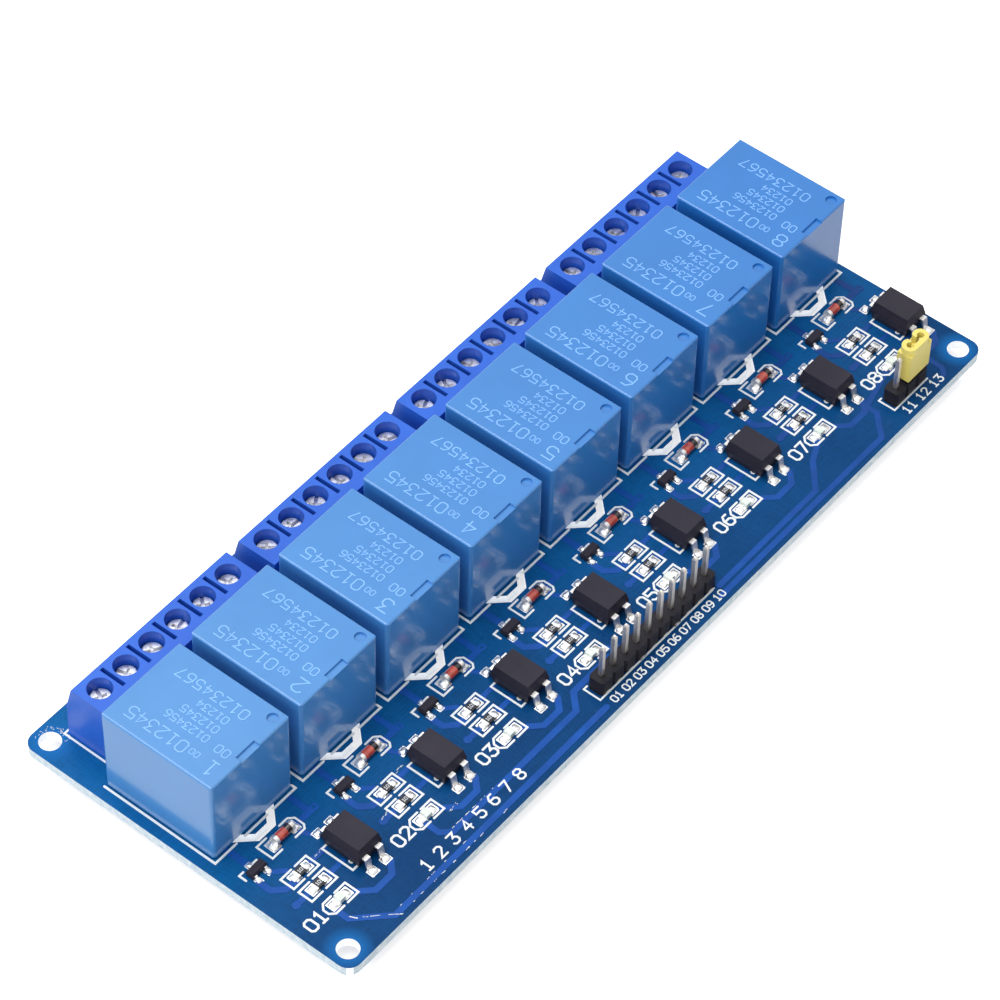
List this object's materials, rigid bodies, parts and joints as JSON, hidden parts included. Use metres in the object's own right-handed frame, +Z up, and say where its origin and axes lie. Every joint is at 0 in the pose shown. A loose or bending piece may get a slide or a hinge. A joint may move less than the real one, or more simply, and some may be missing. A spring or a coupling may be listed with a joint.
{
  "type": "relay module board",
  "caption": "Circuit board with a row of isolated power relays, screw terminals for their contacts, and pin headers for control signals and supply.",
  "frame": {"origin": "middle of the board in X and Y, at the level of the clipped pin tips under the board, on which it rests", "axes": "+X along the long side from channel 1 to channel 8, +Y from the pin headers to the screw terminals, +Z up, out of the component side"},
  "size_m": [0.1414, 0.0574, 0.0189],
  "materials": {
    "board_blue": "solder mask over copper and glass cloth",
    "relay_blue": "moulded",
    "base_blue": "moulded",
    "bobbin_ivory": "moulded",
    "copper_wire": "enamelled winding",
    "iron": "plated soft iron",
    "tinned": "tin plated",
    "bronze": "spring alloy",
    "terminal_blue": "moulded",
    "black_plastic": "moulded",
    "jumper_yellow": "moulded",
    "diode_glass": "glass",
    "light_body": "clear resin over white",
    "resistor_body": "glazed",
    "solder": "bright solder"
  },
  "bodies": {
    "board": {"circuit_board": "board_blue", "relay_cover_1": "relay_blue", "relay_cover_2": "relay_blue", "relay_cover_3": "relay_blue", "relay_cover_4": "relay_blue", "relay_cover_5": "relay_blue", "relay_cover_6": "relay_blue", "relay_cover_7": "relay_blue", "relay_cover_8": "relay_blue", "relay_bases": "base_blue", "relay_bobbins": "bobbin_ivory", "relay_coils": "copper_wire", "relay_yokes": "iron", "relay_cores": "iron", "common_terminals": "tinned", "coil_terminals": "tinned", "open_contacts": "bronze", "closed_contacts": "bronze", "terminal_block_1": "terminal_blue", "terminal_block_2": "terminal_blue", "terminal_block_3": "terminal_blue", "terminal_block_4": "terminal_blue", "terminal_screws": "tinned", "terminal_cages": "tinned", "terminal_pins": "tinned", "wire_guards": "iron", "optocoupler_1": "black_plastic", "optocoupler_2": "black_plastic", "optocoupler_3": "black_plastic", "optocoupler_4": "black_plastic", "optocoupler_5": "black_plastic", "optocoupler_6": "black_plastic", "optocoupler_7": "black_plastic", "optocoupler_8": "black_plastic", "optocoupler_leads": "tinned", "transistors": "black_plastic", "transistor_leads": "tinned", "diode_glasses": "diode_glass", "diode_caps": "tinned", "resistors": "resistor_body", "resistor_ends": "solder", "indicator_lights": "light_body", "indicator_ends": "solder", "input_header": "black_plastic", "input_pins": "tinned", "power_header": "black_plastic", "power_pins": "tinned", "solder_joints": "solder"},
    "armature_1": {"armature_1": "iron"},
    "armature_2": {"armature_2": "iron"},
    "armature_3": {"armature_3": "iron"},
    "armature_4": {"armature_4": "iron"},
    "armature_5": {"armature_5": "iron"},
    "armature_6": {"armature_6": "iron"},
    "armature_7": {"armature_7": "iron"},
    "armature_8": {"armature_8": "iron"},
    "jumper": {"jumper_cap": "jumper_yellow", "jumper_clip": "bronze"}
  },
  "joints": [
    {"name": "armature_1_hinge", "type": "hinge", "parent": "board", "child": "armature_1", "pos_m": [-0.0608, -0.0005, 0.0157], "axis": [-1, 0, 0], "range_deg": [0, 3.1], "stiffness_Nm_per_rad": 0.02, "springref_deg": -8.59},
    {"name": "armature_2_hinge", "type": "hinge", "parent": "board", "child": "armature_2", "pos_m": [-0.04333, -0.0005, 0.0157], "axis": [-1, 0, 0], "range_deg": [0, 3.1], "stiffness_Nm_per_rad": 0.02, "springref_deg": -8.59},
    {"name": "armature_3_hinge", "type": "hinge", "parent": "board", "child": "armature_3", "pos_m": [-0.02585, -0.0005, 0.0157], "axis": [-1, 0, 0], "range_deg": [0, 3.1], "stiffness_Nm_per_rad": 0.02, "springref_deg": -8.59},
    {"name": "armature_4_hinge", "type": "hinge", "parent": "board", "child": "armature_4", "pos_m": [-0.00839, -0.0005, 0.0157], "axis": [-1, 0, 0], "range_deg": [0, 3.1], "stiffness_Nm_per_rad": 0.02, "springref_deg": -8.59},
    {"name": "armature_5_hinge", "type": "hinge", "parent": "board", "child": "armature_5", "pos_m": [0.00908, -0.0005, 0.0157], "axis": [-1, 0, 0], "range_deg": [0, 3.1], "stiffness_Nm_per_rad": 0.02, "springref_deg": -8.59},
    {"name": "armature_6_hinge", "type": "hinge", "parent": "board", "child": "armature_6", "pos_m": [0.02655, -0.0005, 0.0157], "axis": [-1, 0, 0], "range_deg": [0, 3.1], "stiffness_Nm_per_rad": 0.02, "springref_deg": -8.59},
    {"name": "armature_7_hinge", "type": "hinge", "parent": "board", "child": "armature_7", "pos_m": [0.04403, -0.0005, 0.0157], "axis": [-1, 0, 0], "range_deg": [0, 3.1], "stiffness_Nm_per_rad": 0.02, "springref_deg": -8.59},
    {"name": "armature_8_hinge", "type": "hinge", "parent": "board", "child": "armature_8", "pos_m": [0.0615, -0.0005, 0.0157], "axis": [-1, 0, 0], "range_deg": [0, 3.1], "stiffness_Nm_per_rad": 0.02, "springref_deg": -8.59},
    {"name": "jumper_slide", "type": "slide", "parent": "board", "child": "jumper", "axis": [0, 0, 1], "range_m": [0, 0.0055]}
  ]
}
